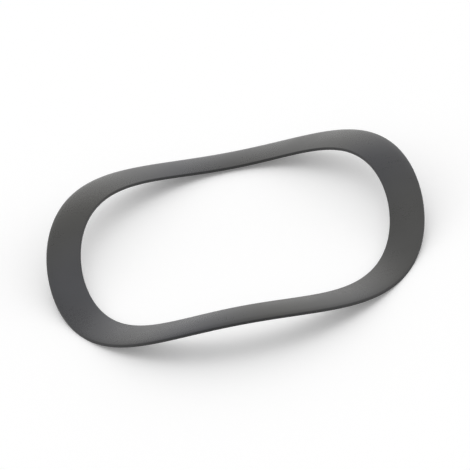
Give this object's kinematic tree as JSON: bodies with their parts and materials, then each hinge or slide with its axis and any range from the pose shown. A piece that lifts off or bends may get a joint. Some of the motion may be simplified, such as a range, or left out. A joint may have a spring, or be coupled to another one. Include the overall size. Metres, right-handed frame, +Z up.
{
  "type": "wave spring washer",
  "caption": "Thin round spring washer pressed into even waves; flattens under load to give a light, steady axial preload or take up end play.",
  "frame": {"origin": "on the ring's axis, in the plane of the three trough faces that the washer rests on", "axes": "+Z up along the ring's axis, from the trough faces to the crest faces; -Y points at one crest, and the other two stand at 120 degrees to it, with a trough midway between each pair"},
  "size_m": [0.0465, 0.0464, 0.005],
  "materials": {
    "blackened_spring_steel": "satin blackened spring steel with tumbled edges"
  },
  "bodies": {
    "root": {"wave_washer": "blackened_spring_steel"}
  },
  "joints": []
}
